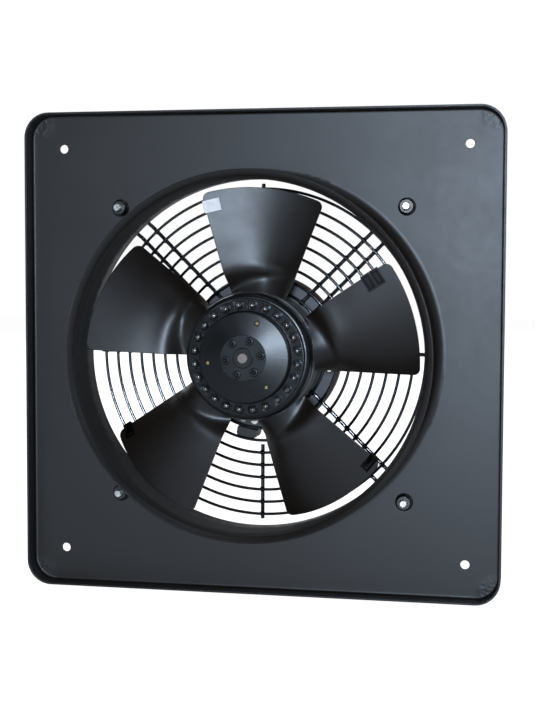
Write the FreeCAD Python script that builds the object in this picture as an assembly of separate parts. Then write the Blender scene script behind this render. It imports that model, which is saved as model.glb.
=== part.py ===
"""Square-plate axial exhaust fan with an external-rotor motor.

The fan axis is Y.  The plate's outlet face lies in the plane y = 0, the rotor and the nozzle stand out
towards -Y, the wire guard and the motor plate lie on the +Y side, and +Z is up.  Lengths are millimetres.
Angles round the axis are in degrees, clockwise from the top as seen from the rotor side.
"""
import FreeCAD
import Part

import math
import os

from FreeCAD import Vector

# mounting plate and nozzle, one sheet
PLATE_SIDE = 375.0
PLATE_CORNER_R = 19.5
SHEET_T = 1.5
FLANGE_H = 15.0
BEND_R = 1.6
MOUNT_PITCH = 320.0
MOUNT_HOLE_R = 3.5
BELL_R = 8.0
THROAT_FRONT_R = 131.8
THROAT_FRONT_Y = -50.0
THROAT_TAPER = 3.0
FLARE_R = 10.0
FLARE_ANGLE = 63.0

# guard
RING_OUTER_R = 128.0
RING_PITCH = 9.75
RING_COUNT = 9
RING_WIRE_R = 1.15
RING_Y = 8.0
ARM_COUNT = 4
ARM_WIRE_R = 1.5
ARM_BEND_R = 3.75
ARM_HALF_GAP = 6.15
ARM_INNER_R = 47.5
ARM_SLOPE_START_R = 133.0
ARM_SLOPE_RUN = 13.0
SPOKE_INNER_R = 73.0
SPOKE_OUTER_R = 132.0
BOLT_CIRCLE_R = 160.0

# guard bolts, M6
BOLT_R = 3.0
BOLT_HOLE_R = 3.3
BOLT_HEAD_AF = 10.0
BOLT_HEAD_H = 4.0
BOLT_POINT = 0.6
BOLT_TIP_Y = -11.0
WASHER_R = 9.0
WASHER_T = 1.6
NUT_FLANGE_R = 6.9
NUT_FLANGE_T = 1.0
NUT_CONE_H = 1.6
NUT_CROWN_H = 2.0
NUT_AF = 10.0
NUT_H = 6.0
FIT_GAP = 0.1

# motor plate, behind the guard arms
MOTOR_PLATE_R = 62.0
MOTOR_PLATE_DEPTH = 8.0
MOTOR_PLATE_BEND_R = 3.0
MOTOR_PLATE_HOLE_R = 20.0
VENT_COUNT = 4
VENT_SLOT_R = 53.5
VENT_SLOT_W = 5.0
VENT_SLOT_HALF_ANGLE = 13.0
MOTOR_SCREW_COUNT = 4
MOTOR_SCREW_CIRCLE_R = 36.0
MOTOR_SCREW_R = 2.5
MOTOR_SCREW_HEAD_R = 4.5
MOTOR_SCREW_HEAD_H = 3.0
MOTOR_SCREW_SOCKET_AF = 4.0
MOTOR_SCREW_SOCKET_DEPTH = 1.8
MOTOR_SCREW_REACH = 6.0

# cable gland on the motor plate
GLAND_ANGLE = 192.0
GLAND_W = 16.0
GLAND_DEPTH = 12.0
GLAND_FOOT_R = 50.5
GLAND_OUTER_R = 70.0
GLAND_CORNER_R = 4.0
GLAND_MOUTH_R = 3.6
GLAND_MOUTH_DEPTH = 14.0
GLAND_SCREW_R = 1.6
GLAND_SCREW_HEAD_R = 2.9
GLAND_SCREW_HEAD_H = 1.6
GLAND_SCREW_REACH = 3.5
GLAND_SCREW_PITCH = 9.0
GLAND_SCREW_CIRCLE_R = 54.5

# stator
BASE_R = 44.0
BASE_T = 8.0
SPIGOT_R = 42.5
SPIGOT_H = 6.0
SPIGOT_WALL = 3.0
BASE_FLOOR_T = 5.5
TUBE_R = 14.0
TUBE_FOOT_R = 17.0
TUBE_BORE_R = 9.5
TUBE_OVERHANG = 1.0
RECESS_R = 16.0
RECESS_DEPTH = 7.0
CAP_T = 1.2
CAP_STEP = 1.0
AIR_GAP = 0.6
CORE_FRONT_Y = -42.0
CORE_LEN = 30.0
SLOT_COUNT = 18
SLOT_W = 5.0
SLOT_RIM = 3.9
SLOT_DEPTH = 13.0
SLOT_MOUTH_W = 1.6
INSULATOR_T = 1.2
COIL_INSET = 5.2
COIL_W = 8.8
COIL_HEIGHT = 7.0
COIL_CROWN_R = 2.5
COIL_GAP = 0.4
COIL_BAR_INSET = 1.0

# bearings, 8 x 22 x 7
SHAFT_R = 4.0
BEARING_R = 11.0
BEARING_W = 7.0
BALL_R = 1.95
BALL_CIRCLE_R = 7.5
BALL_COUNT = 7
BALL_GAP = 0.02
RACE_T = 2.0
FRONT_BEARING_Y = -47.0
REAR_BEARING_Y = -3.0

# rotor cup
ROTOR_R = 47.6
ROTOR_BACK_Y = -4.0
ROTOR_WALL = 2.0
SHOULDER_R = 4.0
SHOULDER_Y = -49.5
LIP_Y = -54.6
LIP_W = 1.2
LIP_EDGE_R = 0.5
GROOVE_FLOOR_Y = -48.2
GROOVE_W = 8.5
FACE_Y = -65.2
FACE_CROWN = 2.2
FACE_T = 6.2
FACE_WALL = 1.9
FACE_EDGE = 0.8
FACE_DRAFT = 0.6
CAVITY_CHAMFER = 2.0
CAGE_T = 6.6
CAGE_FRONT_Y = -44.2
CAGE_LEN = 34.0

# hub and shaft
HUB_R = 17.0
HUB_FLANGE_T = 1.8
HUB_BOSS_R = 7.5
HUB_BOSS_H = 1.6
HUB_BOSS_EDGE = 0.5
HUB_TAIL_R = 8.0
HUB_RUNNING_GAP = 2.0
SHAFT_TIP_H = 0.8
SHAFT_TAIL_Y = 7.0
SHAFT_CHAMFER = 0.5
CLIP_GROOVE_DEPTH = 0.4
CLIP_T = 0.8
CLIP_R = 6.2
CLIP_OPENING = 3.0

# end ring with its pockets and pins
RING_FRONT_Y = -55.5
PIN_COUNT = 24
PIN_INSET = 3.5
PIN_R = 2.5
PIN_TIP_Y = -58.0
PIN_PHASE = 7.0
POCKET_R = 3.7
POCKET_DEPTH = 5.0

# rivets and brass plugs in the face
RIVET_COUNT = 6
RIVET_CIRCLE_R = 13.3
RIVET_R = 1.9
RIVET_HEAD_R = 3.2
RIVET_HEAD_H = 1.5
RIVET_HEAD_EDGE_R = 0.9
RIVET_DIMPLE_R = 1.7
RIVET_DIMPLE_RISE = 0.4
FACE_PHASE = 21.5
PLUG_COUNT = 3
PLUG_INSET = 6.5
PLUG_R = 1.2
PLUG_HOLE_R = 2.0
PLUG_HOLE_DEPTH = 3.0
PLUG_H = 2.2

# impeller
BLADE_COUNT = 5
BLADE_T = 1.5
TIP_R = 126.3
TIP_CORNER_R = 5.0
COLLAR_T = 1.6
COLLAR_FRONT_Y = -37.0
COLLAR_BACK_Y = -9.0
NEAR_TIP_ANGLE = -16.4
NEAR_ROOT_ANGLE = -18.1
FAR_TIP_ANGLE = 24.3
FAR_ROOT_ANGLE = 30.6
NEAR_TIP_Y = -48.0
NEAR_ROOT_Y = -42.0
FAR_TIP_Y = -19.0
FAR_ROOT_Y = -20.0
STRAIGHT_TIP = 0.47
STRAIGHT_ROOT = -0.05
CURL_TIP = 3.3
CURL_ROOT = 5.0
ROOT_RISE_SHARE = 0.85
ROOT_SWEEP_MIN = 0.22
ROOT_SWEEP_MAX = 0.9
ROOT_FOLD_MIN = 1.0
ROOT_FOLD_LEAD = 15.5
ROOT_DIP_EDGE = 18.0
ROOT_DIP_MIN = 1.5
ROOT_DIP_SLOPE = 0.45
ROOT_SWEEP_POWER = 1.5
BLADE_SECTIONS = 9
SECTION_SHARES = (0.0, 0.02, 0.045, 0.075, 0.11, 0.15, 0.19, 0.235, 0.32, 0.5, 0.75, 1.03)
SECTION_MARGIN = 3.0

# balance clips, (blade, edge, radius)
CLIP_REACH = 12.0
CLIP_SHEET = 0.6
CLIP_CLEAR = 0.3
CLIP_TILT = 22.0
SILVER_CLIP_WIDTH = 9.3
SILVER_CLIP = (0, "near", 116.0)
BLACK_CLIP_WIDTH = 7.0
BLACK_CLIPS = ((1, "near", 106.0), (1, "near", 113.5), (3, "far", 117.0), (2, "near", 119.5))

AXIS = Vector(0, 1, 0)
ORIGIN = Vector(0, 0, 0)
CUT = 1.0
TINY = 1e-6
SLOPE_STEP = 0.01


def polar(radius, angle, y):
    """Point at a radius and a clockwise angle from the top."""
    a = math.radians(angle)
    return Vector(radius * math.sin(a), y, radius * math.cos(a))


def turned(shape, angle):
    """A copy turned clockwise about the fan axis, as seen from the rotor side."""
    copy = shape.copy()
    copy.rotate(ORIGIN, AXIS, angle)
    return copy


def ring_of(shape, count, phase=0.0):
    """Copies of a shape made at the top, evenly spaced round the axis."""
    return [turned(shape, phase + 360.0 * i / count) for i in range(count)]


def between_axes(count):
    """Angle that puts evenly spaced copies midway between the places that start at the top."""
    return 180.0 / count


def revolve(profile):
    """Solid of revolution about Y of a closed profile in (radius, y).

    An item is a point, or a pair of points: the middle and the end of an arc from the point before.
    """
    start = Vector(profile[0][0], profile[0][1], 0)
    edges = []
    last = start
    for item in profile[1:]:
        if isinstance(item[0], tuple):
            middle = Vector(item[0][0], item[0][1], 0)
            end = Vector(item[1][0], item[1][1], 0)
            edges.append(Part.Arc(last, middle, end).toShape())
        else:
            end = Vector(item[0], item[1], 0)
            edges.append(Part.LineSegment(last, end).toShape())
        last = end
    edges.append(Part.LineSegment(last, start).toShape())
    return Part.Face(Part.Wire(edges)).revolve(ORIGIN, AXIS, 360)


def on_circle(centre, radius, angle):
    """Point in (radius, y) on a circle, its angle measured from the radius axis."""
    a = math.radians(angle)
    return (centre[0] + radius * math.cos(a), centre[1] + radius * math.sin(a))


def arc(centre, radius, start, end):
    """Middle and end points of an arc in (radius, y)."""
    return (on_circle(centre, radius, 0.5 * (start + end)), on_circle(centre, radius, end))


def tube(outer, inner, y0, y1):
    return revolve([(inner, y0), (outer, y0), (outer, y1), (inner, y1)])


def rod(radius, y0, y1, at=ORIGIN):
    """Cylinder along Y between two heights, on the line through a point."""
    return Part.makeCylinder(radius, y1 - y0, Vector(at.x, y0, at.z), AXIS)


def hexagon(across_flats, y0, y1):
    corner = across_flats / math.sqrt(3)
    points = [polar(corner, 60 * i, y0) for i in range(7)]
    return Part.Face(Part.makePolygon(points)).extrude(Vector(0, y1 - y0, 0))


def rounded_square(side, corner, y0, y1):
    """Prism along Y with a square outline whose corners are round."""
    half = side / 2
    box = Part.makeBox(side, y1 - y0, side, Vector(-half, y0, -half))
    return box.makeFillet(corner, [e for e in box.Edges if abs(e.BoundBox.YLength - (y1 - y0)) < TINY])


def edges_in_plane(solid, y):
    return [e for e in solid.Edges if abs(e.BoundBox.YMin - y) < TINY and abs(e.BoundBox.YMax - y) < TINY]


# derived places
plate_back_y = SHEET_T
taper = math.radians(THROAT_TAPER)
bell_end_y = -BELL_R + (BELL_R + SHEET_T) * math.sin(taper)
throat_back_r = THROAT_FRONT_R + (bell_end_y - THROAT_FRONT_Y) * math.tan(taper)
bell_outer_r = throat_back_r + (BELL_R + SHEET_T) * math.cos(taper)
arm_y = RING_Y + RING_WIRE_R + ARM_WIRE_R
motor_plate_y = arm_y + ARM_WIRE_R
foot_y = plate_back_y + ARM_WIRE_R
washer_y = foot_y + ARM_WIRE_R
base_front_y = motor_plate_y - BASE_T
tube_front_y = FRONT_BEARING_Y - TUBE_OVERHANG
hub_back_y = tube_front_y - HUB_RUNNING_GAP
hub_seat_y = FACE_Y + HUB_FLANGE_T
boss_y = FACE_Y - HUB_BOSS_H
cavity_y = FACE_Y + FACE_T
collar_r = ROTOR_R + COLLAR_T
collar_mid_r = ROTOR_R + COLLAR_T / 2
lip_r = ROTOR_R - SHOULDER_R
groove_outer_r = lip_r - LIP_W
face_r = groove_outer_r - GROOVE_W
groove_inner_r = face_r + FACE_DRAFT
pin_circle_r = groove_outer_r - PIN_INSET
plug_circle_r = face_r - PLUG_INSET
plug_fall = FACE_CROWN * (plug_circle_r - HUB_R) / (face_r - HUB_R)
plug_floor_y = FACE_Y + plug_fall + PLUG_HOLE_DEPTH
cage_inner_r = ROTOR_R - ROTOR_WALL - CAGE_T
core_r = cage_inner_r - AIR_GAP
slot_outer_r = core_r - SLOT_RIM
slot_inner_r = slot_outer_r - SLOT_DEPTH
coil_outer_r = slot_outer_r - COIL_INSET
coil_inner_r = coil_outer_r - COIL_W
core_back_y = CORE_FRONT_Y + CORE_LEN
coil_front_y = CORE_FRONT_Y - INSULATOR_T
coil_back_y = core_back_y + INSULATOR_T
retainer_y = REAR_BEARING_Y + BEARING_W
retainer_seat_r = SHAFT_R - CLIP_GROOVE_DEPTH


def mounting_plate():
    """Plate with its folded flange and the drawn nozzle, one sheet."""
    outer = rounded_square(PLATE_SIDE, PLATE_CORNER_R, -FLANGE_H, plate_back_y)
    outer = outer.makeFillet(BEND_R + SHEET_T, edges_in_plane(outer, plate_back_y))
    inner = rounded_square(PLATE_SIDE - 2 * SHEET_T, PLATE_CORNER_R - SHEET_T, -FLANGE_H, 0)
    inner = inner.makeFillet(BEND_R, edges_in_plane(inner, 0))
    plate = outer.cut(inner).cut(rod(bell_outer_r, -CUT, plate_back_y + CUT))
    plate = plate.fuse(nozzle())
    half = MOUNT_PITCH / 2
    corners = [Vector(x, 0, z) for x in (-half, half) for z in (-half, half)]
    holes = [rod(MOUNT_HOLE_R, -CUT, plate_back_y + CUT, corner) for corner in corners]
    bolt_hole = rod(BOLT_HOLE_R, -CUT, plate_back_y + CUT, polar(BOLT_CIRCLE_R, 0, 0))
    holes += ring_of(bolt_hole, ARM_COUNT, between_axes(ARM_COUNT))
    return plate.cut(holes).removeSplitter()


def nozzle():
    """Bell that leaves the plate, the slightly tapered throat and the flared rim."""
    bell = (bell_outer_r, -BELL_R)
    wide = FLARE_R + SHEET_T
    flare = (THROAT_FRONT_R + wide * math.cos(taper), THROAT_FRONT_Y - wide * math.sin(taper))
    wall = 180 - THROAT_TAPER
    rim = 180 + FLARE_ANGLE
    return revolve([
        (bell_outer_r, plate_back_y),
        arc(bell, BELL_R + SHEET_T, 90, wall),
        (THROAT_FRONT_R, THROAT_FRONT_Y),
        arc(flare, wide, wall, rim),
        on_circle(flare, FLARE_R, rim),
        arc(flare, FLARE_R, rim, wall),
        on_circle(bell, BELL_R, wall),
        arc(bell, BELL_R, wall, 90),
    ])


def guard_rings():
    rings = []
    for i in range(RING_COUNT):
        radius = RING_OUTER_R - i * RING_PITCH
        rings.append(Part.makeTorus(radius, RING_WIRE_R, Vector(0, RING_Y, 0), AXIS))
    return Part.makeCompound(rings)


def rounded_run(points, radius):
    """Straight edges through points, with an arc of the given radius at each point between."""
    edges = []
    last = points[0]
    for before, corner, after in zip(points, points[1:], points[2:]):
        back = (before - corner).normalize()
        forward = (after - corner).normalize()
        half = 0.5 * back.getAngle(forward)
        reach = radius / math.tan(half)
        inward = (back + forward).normalize()
        start = corner + back * reach
        end = corner + forward * reach
        middle = corner + inward * (radius / math.sin(half) - radius)
        edges.append(Part.LineSegment(last, start).toShape())
        edges.append(Part.Arc(start, middle, end).toShape())
        last = end
    edges.append(Part.LineSegment(last, points[-1]).toShape())
    return edges


def guard_arms():
    """Wire loops: two parallel wires that step down to the plate and bend round the bolt."""
    slope_end = ARM_SLOPE_START_R + ARM_SLOPE_RUN
    path = []
    for side in (-1, 1):
        x = side * ARM_HALF_GAP
        points = [
            Vector(x, arm_y, ARM_INNER_R),
            Vector(x, arm_y, ARM_SLOPE_START_R),
            Vector(x, foot_y, slope_end),
            Vector(x, foot_y, BOLT_CIRCLE_R),
        ]
        run = rounded_run(points, ARM_BEND_R)
        path.append(run if side < 0 else run[::-1])
    bend = Part.Arc(
        Vector(-ARM_HALF_GAP, foot_y, BOLT_CIRCLE_R),
        Vector(0, foot_y, BOLT_CIRCLE_R + ARM_HALF_GAP),
        Vector(ARM_HALF_GAP, foot_y, BOLT_CIRCLE_R),
    ).toShape()
    wire = Part.Wire(path[0] + [bend] + path[1])
    start = Vector(-ARM_HALF_GAP, arm_y, ARM_INNER_R)
    section = Part.Wire([Part.makeCircle(ARM_WIRE_R, start, Vector(0, 0, 1))])
    arm = wire.makePipeShell([section], True, False)
    return Part.makeCompound(ring_of(arm, ARM_COUNT, between_axes(ARM_COUNT)))


def guard_spokes():
    spoke = Part.makeCylinder(
        ARM_WIRE_R, SPOKE_OUTER_R - SPOKE_INNER_R, Vector(0, arm_y, SPOKE_INNER_R), Vector(0, 0, 1)
    )
    return Part.makeCompound(ring_of(spoke, ARM_COUNT))


def at_the_bolts(shape):
    """Copies of a shape made on the fan axis, one at each bolt."""
    shape.translate(polar(BOLT_CIRCLE_R, 0, 0))
    return Part.makeCompound(ring_of(shape, ARM_COUNT, between_axes(ARM_COUNT)))


def guard_bolts():
    head_y = washer_y + WASHER_T
    bolt = rod(BOLT_R, BOLT_TIP_Y, head_y).fuse(hexagon(BOLT_HEAD_AF, head_y, head_y + BOLT_HEAD_H))
    return at_the_bolts(bolt.makeChamfer(BOLT_POINT, edges_in_plane(bolt, BOLT_TIP_Y)))


def guard_washers():
    return at_the_bolts(tube(WASHER_R, BOLT_R + FIT_GAP, washer_y, washer_y + WASHER_T))


def flange_nuts():
    """Hexagon nuts with a conical flange, on the rotor side of the plate."""
    cone_y = -NUT_FLANGE_T - NUT_CONE_H
    side_r = NUT_AF / 2
    cone = revolve([(0, 0), (NUT_FLANGE_R, 0), (NUT_FLANGE_R, -NUT_FLANGE_T), (side_r, cone_y), (0, cone_y)])
    crown = revolve([
        (0, 0), (NUT_FLANGE_R, 0), (NUT_FLANGE_R, NUT_CROWN_H - NUT_H), (side_r, -NUT_H), (0, -NUT_H),
    ])
    nut = hexagon(NUT_AF, -NUT_H, 0).common(crown).fuse(cone)
    return at_the_bolts(nut.cut(rod(BOLT_R + FIT_GAP, -NUT_H - CUT, CUT)))


def at_the_motor_screws(shape):
    """Copies of a shape made on the fan axis, one at each screw of the stator base."""
    shape.translate(polar(MOTOR_SCREW_CIRCLE_R, 0, 0))
    return ring_of(shape, MOTOR_SCREW_COUNT, between_axes(MOTOR_SCREW_COUNT))


def motor_plate():
    """Round dish behind the guard arms, with vent slots and the stator's screw holes."""
    back = motor_plate_y + MOTOR_PLATE_DEPTH
    inner_r = MOTOR_PLATE_R - SHEET_T
    bend = (MOTOR_PLATE_R - MOTOR_PLATE_BEND_R, motor_plate_y + MOTOR_PLATE_BEND_R)
    dish = revolve([
        (MOTOR_PLATE_HOLE_R, motor_plate_y),
        (bend[0], motor_plate_y),
        arc(bend, MOTOR_PLATE_BEND_R, -90, 0),
        (MOTOR_PLATE_R, back),
        (inner_r, back),
        (inner_r, bend[1]),
        arc(bend, MOTOR_PLATE_BEND_R - SHEET_T, 0, -90),
        (MOTOR_PLATE_HOLE_R, motor_plate_y + SHEET_T),
    ])
    cuts = ring_of(vent_slot(), VENT_COUNT)
    cuts += at_the_motor_screws(rod(MOTOR_SCREW_R + FIT_GAP, motor_plate_y - CUT, back))
    cuts += at_the_gland_screws(GLAND_SCREW_R + FIT_GAP, motor_plate_y - CUT, back)
    return dish.cut(cuts)


def vent_slot():
    """Cutter for a curved slot with round ends, centred at the top."""
    y0 = motor_plate_y - CUT
    y1 = motor_plate_y + SHEET_T + CUT
    half = VENT_SLOT_W / 2
    sector = tube(VENT_SLOT_R + half, VENT_SLOT_R - half, y0, y1)
    side = 2 * VENT_SLOT_R
    for sign in (-1, 1):
        wall = Part.makeBox(side, y1 - y0, 2 * side, Vector(0 if sign > 0 else -side, y0, -side))
        sector = sector.cut(turned(wall, sign * VENT_SLOT_HALF_ANGLE))
    ends = [rod(half, y0, y1, polar(VENT_SLOT_R, sign * VENT_SLOT_HALF_ANGLE, 0)) for sign in (-1, 1)]
    return sector.fuse(ends)


def motor_screws():
    """Pan-head screws from the back of the motor plate into the stator base."""
    head_y = motor_plate_y + SHEET_T
    top_y = head_y + MOTOR_SCREW_HEAD_H
    head = rod(MOTOR_SCREW_HEAD_R, head_y, top_y)
    head = head.makeFillet(MOTOR_SCREW_HEAD_H / 2, edges_in_plane(head, top_y))
    socket = hexagon(MOTOR_SCREW_SOCKET_AF, top_y - MOTOR_SCREW_SOCKET_DEPTH, top_y + CUT)
    screw = rod(MOTOR_SCREW_R, motor_plate_y - MOTOR_SCREW_REACH, head_y).fuse(head).cut(socket)
    return Part.makeCompound(at_the_motor_screws(screw))


def at_the_gland_screws(radius, y0, y1):
    """Two rods side by side where the gland's screws pass through the motor plate."""
    half = GLAND_SCREW_PITCH / 2
    places = [Vector(x, 0, GLAND_SCREW_CIRCLE_R) for x in (-half, half)]
    return [turned(rod(radius, y0, y1, place), GLAND_ANGLE) for place in places]


def cable_gland():
    """Strain relief block on the back of the motor plate, its mouth pointing out and down."""
    half = GLAND_W / 2
    foot_y0 = motor_plate_y + SHEET_T
    rim_y = motor_plate_y + MOTOR_PLATE_DEPTH
    inside_r = MOTOR_PLATE_R - MOTOR_PLATE_BEND_R
    outside_z = MOTOR_PLATE_R + FIT_GAP
    foot_at = Vector(-half, foot_y0, GLAND_FOOT_R)
    foot = Part.makeBox(GLAND_W, rim_y - foot_y0, inside_r - GLAND_FOOT_R, foot_at)
    foot = foot.common(rod(inside_r, foot_y0, rim_y))
    bridge_at = Vector(-half, rim_y, GLAND_FOOT_R)
    bridge = Part.makeBox(GLAND_W, GLAND_DEPTH, GLAND_OUTER_R - GLAND_FOOT_R, bridge_at)
    lip_at = Vector(-half, motor_plate_y, outside_z)
    lip = Part.makeBox(GLAND_W, rim_y - motor_plate_y, GLAND_OUTER_R - outside_z, lip_at)
    body = bridge.fuse(lip).removeSplitter()
    corners = []
    for e in body.Edges:
        if e.BoundBox.YLength > GLAND_DEPTH and e.BoundBox.ZMin > GLAND_OUTER_R - TINY:
            corners.append(e)
    body = body.makeFillet(GLAND_CORNER_R, corners)
    mouth_at = Vector(0, rim_y + GLAND_DEPTH / 2, GLAND_OUTER_R - GLAND_MOUTH_DEPTH)
    mouth = Part.makeCylinder(GLAND_MOUTH_R, GLAND_MOUTH_DEPTH + CUT, mouth_at, Vector(0, 0, 1))
    body = turned(body.fuse(foot).removeSplitter().cut(mouth), GLAND_ANGLE)
    return body.cut(at_the_gland_screws(GLAND_SCREW_R, foot_y0 - CUT, foot_y0 + GLAND_SCREW_REACH))


def gland_screws():
    """Two small screws from the front of the motor plate into the gland's foot."""
    shanks = at_the_gland_screws(GLAND_SCREW_R, motor_plate_y, motor_plate_y + SHEET_T + GLAND_SCREW_REACH)
    heads = at_the_gland_screws(GLAND_SCREW_HEAD_R, motor_plate_y - GLAND_SCREW_HEAD_H, motor_plate_y)
    return Part.makeCompound([shank.fuse(head) for shank, head in zip(shanks, heads)])


def stator_base():
    """Cast base on the motor plate, with the bearing tube that carries the stator and the shaft."""
    spigot_y = base_front_y - SPIGOT_H
    floor_y = motor_plate_y - RECESS_DEPTH - BASE_FLOOR_T
    base = revolve([
        (TUBE_BORE_R, tube_front_y),
        (TUBE_R, tube_front_y),
        (TUBE_R, floor_y - (TUBE_FOOT_R - TUBE_R)),
        (TUBE_FOOT_R, floor_y),
        (SPIGOT_R - SPIGOT_WALL, floor_y),
        (SPIGOT_R - SPIGOT_WALL, spigot_y),
        (SPIGOT_R, spigot_y),
        (SPIGOT_R, base_front_y),
        (BASE_R, base_front_y),
        (BASE_R, motor_plate_y),
        (TUBE_BORE_R, motor_plate_y),
    ])
    front_seat = rod(BEARING_R, tube_front_y - CUT, FRONT_BEARING_Y + BEARING_W)
    rear_seat = rod(BEARING_R, REAR_BEARING_Y, motor_plate_y + CUT)
    recess = rod(RECESS_R, motor_plate_y - RECESS_DEPTH, motor_plate_y + CUT)
    threads = at_the_motor_screws(rod(MOTOR_SCREW_R, motor_plate_y - MOTOR_SCREW_REACH, motor_plate_y + CUT))
    return base.cut([front_seat, rear_seat, recess] + threads)


def rear_cap():
    """Pressed cap in the base's recess, over the rear bearing."""
    lid_y = motor_plate_y + CAP_STEP
    skirt = tube(RECESS_R, RECESS_R - CAP_T, motor_plate_y - RECESS_DEPTH + CAP_STEP, lid_y)
    return skirt.fuse(rod(RECESS_R, lid_y - CAP_T, lid_y)).removeSplitter()


def slotted_disc(y0, y1, bore):
    """Disc with the stator's winding slots, open to the air gap by a narrow mouth."""
    half = SLOT_W / 2
    depth = y1 - y0 + 2 * CUT
    low = y0 - CUT
    inner_z = slot_inner_r + half
    outer_z = slot_outer_r - half
    slot = Part.makeBox(SLOT_W, depth, outer_z - inner_z, Vector(-half, low, inner_z))
    ends = [rod(half, low, low + depth, Vector(0, 0, z)) for z in (inner_z, outer_z)]
    slit = Part.makeBox(SLOT_MOUTH_W, depth, core_r, Vector(-SLOT_MOUTH_W / 2, low, outer_z))
    cutter = slot.fuse(ends + [slit]).removeSplitter()
    return tube(core_r, bore, y0, y1).cut(ring_of(cutter, SLOT_COUNT))


def stator_core():
    return slotted_disc(CORE_FRONT_Y, core_back_y, TUBE_R)


def slot_insulators():
    front = slotted_disc(coil_front_y, CORE_FRONT_Y, TUBE_R + FIT_GAP)
    back = slotted_disc(core_back_y, coil_back_y, TUBE_R + FIT_GAP)
    return Part.makeCompound([front, back])


def stator_winding():
    """Copper bars through the slots and the rounded end turns at both ends of the core."""
    front_crown = coil_front_y - COIL_HEIGHT
    back_crown = coil_back_y + COIL_HEIGHT
    front = tube(coil_outer_r, coil_inner_r, front_crown, coil_front_y)
    back = tube(coil_outer_r, coil_inner_r, coil_back_y, back_crown)
    front = front.makeFillet(COIL_CROWN_R, edges_in_plane(front, front_crown))
    back = back.makeFillet(COIL_CROWN_R, edges_in_plane(back, back_crown))
    bar_r = SLOT_W / 2 - COIL_GAP
    bar_at = Vector(0, 0, coil_outer_r - bar_r - COIL_BAR_INSET)
    bar = rod(bar_r, coil_front_y - COIL_HEIGHT / 2, coil_back_y + COIL_HEIGHT / 2, bar_at)
    return front.fuse([back] + ring_of(bar, SLOT_COUNT))


def ball_track(y0):
    """Ring-shaped cutter for the ball grooves of a bearing that starts at a height."""
    return Part.makeTorus(BALL_CIRCLE_R, BALL_R + BALL_GAP, Vector(0, y0 + BEARING_W / 2, 0), AXIS)


def bearing_outer_ring(y0):
    return tube(BEARING_R, BEARING_R - RACE_T, y0, y0 + BEARING_W).cut(ball_track(y0))


def bearing_inner_ring(y0):
    return tube(SHAFT_R + RACE_T, SHAFT_R, y0, y0 + BEARING_W).cut(ball_track(y0))


def bearing_balls(y0):
    ball = Part.makeSphere(BALL_R, polar(BALL_CIRCLE_R, 0, y0 + BEARING_W / 2))
    return Part.makeCompound(ring_of(ball, BALL_COUNT))


def shaft():
    """Shaft with chamfered ends and the groove of its retaining ring."""
    tip_y = boss_y - SHAFT_TIP_H
    body = rod(SHAFT_R, tip_y, SHAFT_TAIL_Y)
    ends = edges_in_plane(body, tip_y) + edges_in_plane(body, SHAFT_TAIL_Y)
    body = body.makeChamfer(SHAFT_CHAMFER, ends)
    return body.cut(tube(SHAFT_R + CUT, retainer_seat_r, retainer_y, retainer_y + CLIP_T))


def retaining_ring():
    """Open ring in the shaft's groove, behind the rear bearing."""
    ring = tube(CLIP_R, retainer_seat_r, retainer_y, retainer_y + CLIP_T)
    gap = Part.makeBox(CLIP_OPENING, CLIP_T, CLIP_R, Vector(-CLIP_OPENING / 2, retainer_y, 0))
    return ring.cut(gap)


def rotor_shell():
    """Cast cup of the external rotor: outer wall, round shoulder, pin groove and raised face."""
    wall_r = ROTOR_R - ROTOR_WALL
    under_groove = CAGE_FRONT_Y - FIT_GAP
    cavity_r = face_r - FACE_WALL
    rim_y = FACE_Y + FACE_CROWN
    hub_seat_r = HUB_R + FIT_GAP
    shoulder = (lip_r, SHOULDER_Y + SHOULDER_R)
    lip_edge = (lip_r - LIP_EDGE_R, LIP_Y + LIP_EDGE_R)
    shell = revolve([
        (wall_r, ROTOR_BACK_Y),
        (ROTOR_R, ROTOR_BACK_Y),
        (ROTOR_R, shoulder[1]),
        arc(shoulder, SHOULDER_R, 0, -90),
        (lip_r, lip_edge[1]),
        arc(lip_edge, LIP_EDGE_R, 0, -90),
        (groove_outer_r, LIP_Y),
        (groove_outer_r, GROOVE_FLOOR_Y),
        (groove_inner_r, GROOVE_FLOOR_Y),
        (face_r, rim_y + FACE_EDGE),
        (face_r - FACE_EDGE, rim_y),
        (hub_seat_r, FACE_Y),
        (hub_seat_r, hub_seat_y),
        (HUB_TAIL_R, hub_seat_y),
        (HUB_TAIL_R, cavity_y),
        (cavity_r - CAVITY_CHAMFER, cavity_y),
        (cavity_r, cavity_y + CAVITY_CHAMFER),
        (cavity_r, under_groove),
        (wall_r, under_groove),
    ])
    hole = rod(RIVET_R, FACE_Y - CUT, cavity_y + CUT, polar(RIVET_CIRCLE_R, 0, 0))
    plug_seat = rod(PLUG_HOLE_R, FACE_Y - CUT, plug_floor_y, polar(plug_circle_r, 0, 0))
    return shell.cut(ring_of(hole, RIVET_COUNT, FACE_PHASE) + ring_of(plug_seat, PLUG_COUNT, FACE_PHASE))


def rotor_hub():
    """Steel hub pressed on the shaft, with a flange that is riveted to the shell."""
    hub = revolve([
        (SHAFT_R, boss_y),
        (HUB_BOSS_R - HUB_BOSS_EDGE, boss_y),
        (HUB_BOSS_R, boss_y + HUB_BOSS_EDGE),
        (HUB_BOSS_R, FACE_Y),
        (HUB_R, FACE_Y),
        (HUB_R, hub_seat_y),
        (HUB_TAIL_R, hub_seat_y),
        (HUB_TAIL_R, hub_back_y),
        (SHAFT_R, hub_back_y),
    ])
    hole = rod(RIVET_R, FACE_Y - CUT, hub_seat_y + CUT, polar(RIVET_CIRCLE_R, 0, 0))
    return hub.cut(ring_of(hole, RIVET_COUNT, FACE_PHASE))


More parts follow.
